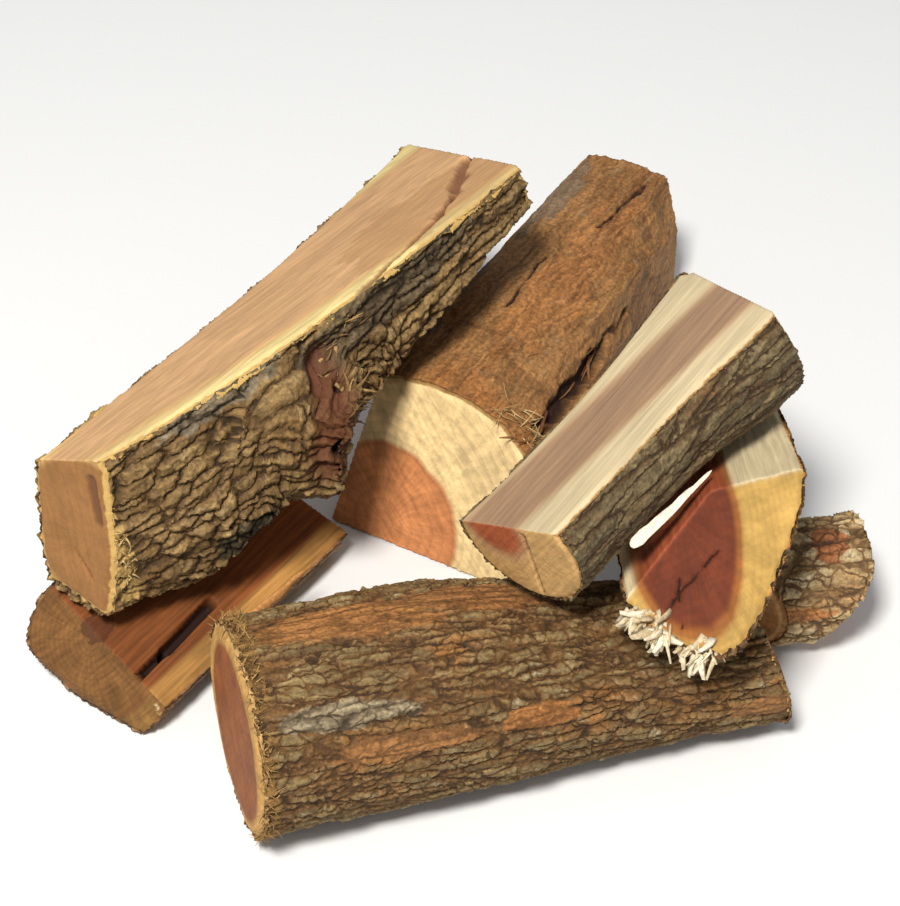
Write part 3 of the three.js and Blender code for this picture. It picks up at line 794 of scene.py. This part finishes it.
def growFibres(name, base, log, settings):
    splinter = makeSplinter(name + "One", settings["long"], settings["thick"], settings["flat"], settings["bend"],
                            settings.get("blunt", 0.15))
    piece = base.copy()
    piece.data = base.data.copy()
    piece.name = piece.data.name = name
    for key in list(piece.keys()):
        del piece[key]
    piece.parent = None
    piece.data.materials.clear()
    bpy.context.scene.collection.objects.link(piece)
    tree = bpy.data.node_groups.new(name, "GeometryNodeTree")
    tree.interface.new_socket("Geometry", in_out="INPUT", socket_type="NodeSocketGeometry")
    tree.interface.new_socket("Geometry", in_out="OUTPUT", socket_type="NodeSocketGeometry")
    start = tree.nodes.new("NodeGroupInput").outputs[0]
    finish = tree.nodes.new("NodeGroupOutput").inputs[0]
    grain = put(tree, "GeometryNodeInputNamedAttribute", {"Name": "grain"}, data_type="FLOAT_VECTOR").outputs[0]
    mask = 0.0
    for spot in settings["where"]:
        mask = calc(tree, "MAXIMUM", mask, useGroup(tree, patches["GeometryNodeTree"], patchInputs(spot, grain))["Mask"])
    height = split(tree, put(tree, "GeometryNodeInputPosition").outputs[0])[2]
    mask = calc(tree, "MULTIPLY", mask, fade(tree, height, 0.012, 0.02))
    if settings.get("barkOnly"):
        endness = put(tree, "GeometryNodeInputNamedAttribute", {"Name": "endness"}, data_type="FLOAT").outputs[0]
        mask = calc(tree, "MULTIPLY", mask, fade(tree, endness, 0.35, 0.6, 1.0, 0.0))
    spread = put(tree, "GeometryNodeDistributePointsOnFaces",
                 {"Mesh": start, "Density": calc(tree, "MULTIPLY", mask, settings["density"]), "Seed": log["seed"]},
                 distribute_method="RANDOM")
    turned = Euler((math.radians(log["roll"]), math.radians(-log["rise"]), math.radians(log["yaw"]))).to_matrix()
    lean = turned @ Vector(settings["lean"])
    mess = settings["mess"]
    stray = put(tree, "FunctionNodeRandomValue", {0: (-mess,) * 3, 1: (mess,) * 3, "Seed": 1},
                data_type="FLOAT_VECTOR").outputs[0]
    aim = steer(tree, "ADD", stretch(tree, spread.outputs["Normal"], settings["lift"]), tuple(lean))
    aim = steer(tree, "ADD", aim, stray)
    turn = put(tree, "FunctionNodeAlignRotationToVector", {"Vector": aim}, axis="Z").outputs[0]
    spinBy = put(tree, "FunctionNodeRandomValue", {2: 0.0, 3: 6.28, "Seed": 2}, data_type="FLOAT").outputs[1]
    spin = put(tree, "FunctionNodeEulerToRotation", {0: join(tree, 0.0, 0.0, spinBy)}).outputs[0]
    turn = put(tree, "FunctionNodeRotateRotation", {0: turn, 1: spin}, rotation_space="LOCAL").outputs[0]
    size = put(tree, "FunctionNodeRandomValue", {2: 0.45, 3: 1.25, "Seed": 3}, data_type="FLOAT").outputs[1]
    tint = put(tree, "FunctionNodeRandomValue", {2: 0.0, 3: 1.0, "Seed": 4}, data_type="FLOAT").outputs[1]
    points = put(tree, "GeometryNodeStoreNamedAttribute",
                 {"Geometry": spread.outputs["Points"], "Name": "tint", "Value": tint},
                 data_type="FLOAT", domain="POINT").outputs[0]
    shape = put(tree, "GeometryNodeObjectInfo", {"Object": splinter}).outputs["Geometry"]
    grown = put(tree, "GeometryNodeInstanceOnPoints",
                {"Points": points, "Instance": shape, "Rotation": turn, "Scale": join(tree, size, size, size)}).outputs[0]
    tree.links.new(put(tree, "GeometryNodeRealizeInstances", {0: grown}).outputs[0], finish)
    modifier = piece.modifiers.new("grow", "NODES")
    modifier.node_group = tree
    applyAll(piece)
    bpy.data.objects.remove(splinter)
    makeActive(piece)
    bpy.ops.object.shade_smooth()
    piece.data.materials.clear()
    piece.data.materials.append(makeFibreMaterial(name, settings["colours"]))
    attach(piece, "root")
    print(name, len(piece.data.polygons), "faces")
    return piece


frontFibres = {
    "long": 6.5, "thick": 0.5, "flat": 0.8, "bend": 2, "density": 210000, "lift": 0.06, "lean": (0, 0, 0), "mess": 0.9,
    "where": [{"at": (-160, 0, 8), "reach": (9, 90, 90), "ragged": 0.5}], "barkOnly": True,
    "colours": [(120, 86, 46), (186, 148, 90)]}
knotRimFibres = {
    "long": 5, "thick": 0.7, "flat": 0.7, "bend": 2, "density": 120000, "lift": 0.15, "lean": (0, 0, 0), "mess": 0.8,
    "where": [{"at": (-186, -40, -4), "reach": (10, 36, 60), "ragged": 0.6}], "barkOnly": True,
    "colours": [(176, 142, 90), (230, 204, 144)]}
knotTornFibres = {
    "long": 11, "thick": 1.5, "flat": 0.5, "bend": 3, "density": 30000, "lift": 0.25, "lean": (0.7, 0, 0.1),
    "mess": 0.5, "where": [{"at": (-26, -66, -26), "reach": (12, 22, 32), "ragged": 0.8},
                           {"at": (-8, -66, 10), "reach": (14, 7, 8), "ragged": 0.8}],
    "colours": [(96, 68, 40), (190, 154, 98)]}
wedgeFibres = {
    "long": 13, "thick": 0.6, "flat": 0.7, "bend": 4, "density": 80000, "lift": 0.3, "lean": (-0.3, -0.2, 0.1),
    "mess": 0.7, "where": [{"at": (-98, -60, 118), "reach": (12, 26, 14), "ragged": 0.8}],
    "colours": [(176, 140, 84), (232, 208, 150)]}
wedgePeel = {
    "long": 42, "thick": 2.4, "flat": 0.35, "bend": 7, "density": 6000, "lift": 0.25, "lean": (-1.1, 0, 0),
    "mess": 0.4, "where": [{"at": (-20, -66, 108), "reach": (90, 10, 12), "ragged": 0.8}],
    "colours": [(112, 70, 42), (168, 116, 72)]}
redHeartTorn = {
    "long": 13, "thick": 3, "flat": 0.4, "bend": 3, "blunt": 0.4, "density": 80000, "lift": 0.1,
    "lean": (-0.3, 0.35, -0.6), "mess": 0.6, "where": [{"at": (-110, 46, -34), "reach": (15, 14, 15), "ragged": 0.9},
                                                       {"at": (-121, 24, -47), "reach": (9, 17, 8), "ragged": 0.9}],
    "colours": [(200, 176, 134), (238, 226, 200)]}
for name, base, node, log, settings in (
        ("frontFibres", "frontLog", "front_round", frontRound, frontFibres),
        ("knotRimFibres", "knottedLog", "knotted_split", knottedSplit, knotRimFibres),
        ("knotTornFibres", "knottedLog", "knotted_split", knottedSplit, knotTornFibres),
        ("wedgeFibres", "wedgeLog", "bark_wedge", barkWedge, wedgeFibres),
        ("wedgePeel", "wedgeLog", "bark_wedge", barkWedge, wedgePeel),
        ("redHeartTorn", "redHeartLog", "red_heart_half", redHeartHalf, redHeartTorn)):
    growFibres(name, pieces[base], log, settings)

# single slivers, the base one lighter to stand in for a sunlit edge (painted highlight): each is laid from its root to
# its tip

def laySliver(name, settings):
    sliver = makeSplinter(name, (Vector(settings["tip"]) - Vector(settings["root"])).length, settings["thick"],
                          settings["flat"], settings["bend"])
    sliver.data.name = name
    bevel = sliver.modifiers.new("round", "SUBSURF")
    bevel.levels = bevel.render_levels = 2
    rough = sliver.modifiers.new("rough", "DISPLACE")
    rough.texture = bpy.data.textures.new(name, "CLOUDS")
    rough.texture.noise_scale = 0.006
    rough.strength = settings["thick"] * 0.5 * mm
    applyAll(sliver)
    aim = Vector(settings["tip"]) - Vector(settings["root"])
    sliver.rotation_euler = (aim.to_track_quat("Z", "Y") @ Euler((0, 0, math.radians(settings["spin"]))).to_quaternion()).to_euler()
    sliver.location = metres(settings["root"])
    makeActive(sliver)
    bpy.ops.object.transform_apply(location=True, rotation=True, scale=True)
    bpy.ops.object.shade_smooth()
    sliver.data.materials.append(makeFibreMaterial(name, settings["colours"]))
    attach(sliver, "root")
    print(name, len(sliver.data.polygons), "faces")


redHeartSliver = {"root": (98, -178, 157), "tip": (150, -128, 168), "thick": 5.5, "flat": 0.3, "bend": 3, "spin": 20,
                  "colours": [(244, 232, 208), (250, 242, 224)]}
# painted highlight: a lighter sliver along the base log's near edge stands for its sunlit sapwood edge
baseSliver = {"root": (-124, -118, 30), "tip": (-80, -76, 44), "thick": 9, "flat": 0.5, "bend": 2, "spin": 90,
              "colours": [(196, 138, 80), (214, 160, 100)]}
laySliver("redHeartSliver", redHeartSliver)
laySliver("baseSliver", baseSliver)
